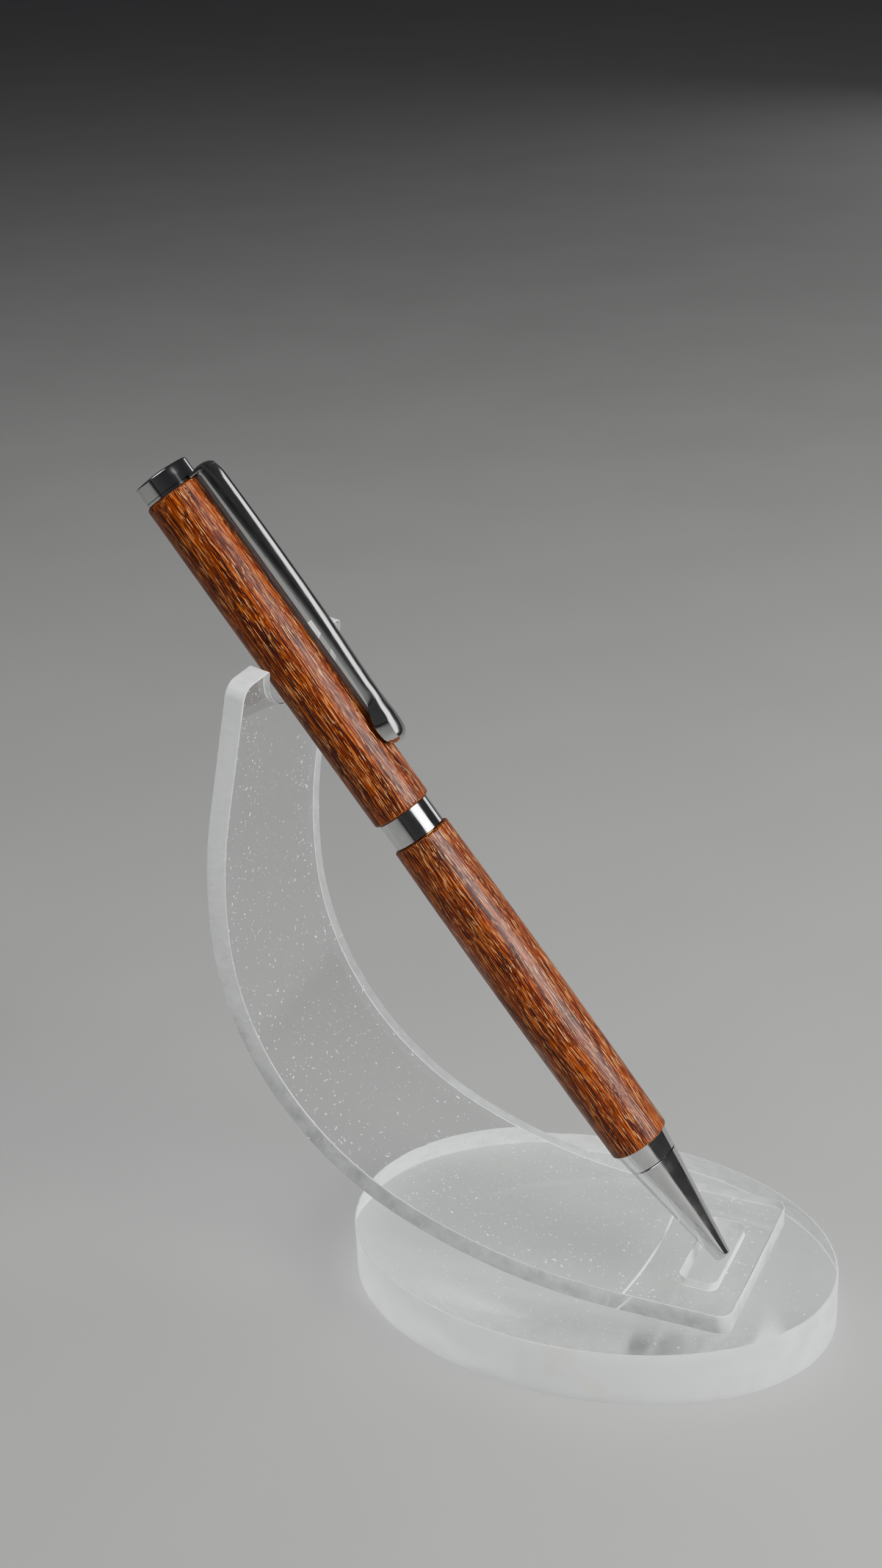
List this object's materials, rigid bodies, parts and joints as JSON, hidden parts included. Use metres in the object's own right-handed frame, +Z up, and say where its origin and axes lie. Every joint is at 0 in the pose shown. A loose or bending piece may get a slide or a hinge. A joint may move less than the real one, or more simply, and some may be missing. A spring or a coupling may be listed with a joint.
{
  "type": "pen stand with pen",
  "caption": "Clear acrylic stand, an oval disc with a curved forked arm, holding a twist ballpoint pen with turned wooden barrels and chromed fittings.",
  "frame": {"origin": "centre of the oval base disc, on its flat underside where it stands on the table", "axes": "+Z up; +X along the base from its centre towards the foot of the arm, where the nib rests; +Y completes the frame. The pen lies in the XZ plane and leans back towards -X."},
  "size_m": [0.0994, 0.05, 0.1203],
  "materials": {
    "acrylic_disc": "clear cast acrylic, polished faces, milky sawn and frosted side wall",
    "acrylic_sheet": "clear acrylic sheet with glossy faces and frosted laser-cut edges",
    "chrome": "bright chrome plating on turned brass",
    "turned_wood": "reddish-brown hardwood with orange streaks, turned, glossy lacquer",
    "brass": "drawn brass tube",
    "dark_plastic": "moulded black plastic",
    "steel": "drawn steel",
    "ink": "black ink paste inside the refill tube",
    "clear_grease": "clear follower grease"
  },
  "bodies": {
    "stand": {"base_disc": "acrylic_disc", "support_arm": "acrylic_sheet"},
    "core": {"mechanism_rotor": "dark_plastic", "centre_band": "chrome"},
    "lower_pen": {"nib": "chrome", "lower_barrel": "turned_wood", "lower_tube": "brass", "mechanism_sleeve": "brass"},
    "upper_pen": {"upper_barrel": "turned_wood", "upper_tube": "brass", "cap": "chrome", "clip_ring": "chrome"},
    "clip": {"clip_arm": "chrome"},
    "refill": {"refill_carrier": "dark_plastic", "cam_pin": "steel", "refill_plug": "dark_plastic", "refill_tube": "steel", "refill_ink": "ink", "ink_follower": "clear_grease", "refill_tip": "brass"},
    "ball": {"writing_ball": "steel"}
  },
  "joints": [
    {"name": "pen_lift", "type": "slide", "parent": "stand", "child": "core", "axis": [-0.5976, 0, 0.8018], "range_m": [0, 0.12]},
    {"name": "barrel_twist", "type": "hinge", "parent": "core", "child": "lower_pen", "pos_m": [-0.02427, 0, 0.06973], "axis": [-0.5976, 0, 0.8018], "range_deg": [0, 180]},
    {"name": "refill_extend", "type": "slide", "parent": "lower_pen", "child": "refill", "axis": [0.5976, 0, -0.8018], "range_m": [0, 0.00485]},
    {"name": "ball_roll", "type": "hinge", "parent": "refill", "child": "ball", "pos_m": [0.01771, 0, 0.01341], "axis": [0, 1, 0], "continuous": true},
    {"name": "barrel_pull", "type": "slide", "parent": "core", "child": "upper_pen", "axis": [-0.5976, 0, 0.8018], "range_m": [0, 0.045]},
    {"name": "clip_flex", "type": "hinge", "parent": "upper_pen", "child": "clip", "pos_m": [-0.05306, 0.00166, 0.11947], "axis": [0.194, -0.9703, 0.1446], "range_deg": [0, 3], "stiffness_Nm_per_rad": 0.2, "springref_deg": -1.15}
  ],
  "couplings": [
    {"joint": "barrel_twist", "follows": "refill_extend", "rad_per_m": 647.75}
  ]
}
